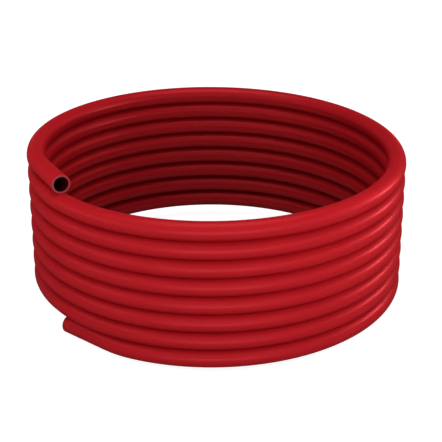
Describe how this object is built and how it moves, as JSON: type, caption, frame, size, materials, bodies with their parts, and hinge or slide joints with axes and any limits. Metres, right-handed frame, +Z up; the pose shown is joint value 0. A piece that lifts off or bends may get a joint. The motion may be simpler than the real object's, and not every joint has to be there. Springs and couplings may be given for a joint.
{
  "type": "coiled air hose",
  "caption": "Coil of plain thin-walled plastic air tube, wound in a single layer, with open square-cut ends that run straight for push-in or barbed fittings.",
  "frame": {"origin": "centre of the coil's footprint, at floor level", "axes": "+Z up along the coil's axis; the picture looks along +Y with +X to the right, and both cut ends are at the left front"},
  "size_m": [0.22, 0.22, 0.0939],
  "materials": {
    "tube": "smooth extruded plastic, semi-gloss"
  },
  "bodies": {
    "root": {"hose_coil": "tube", "lower_tail": "tube", "upper_tail": "tube"}
  },
  "joints": []
}
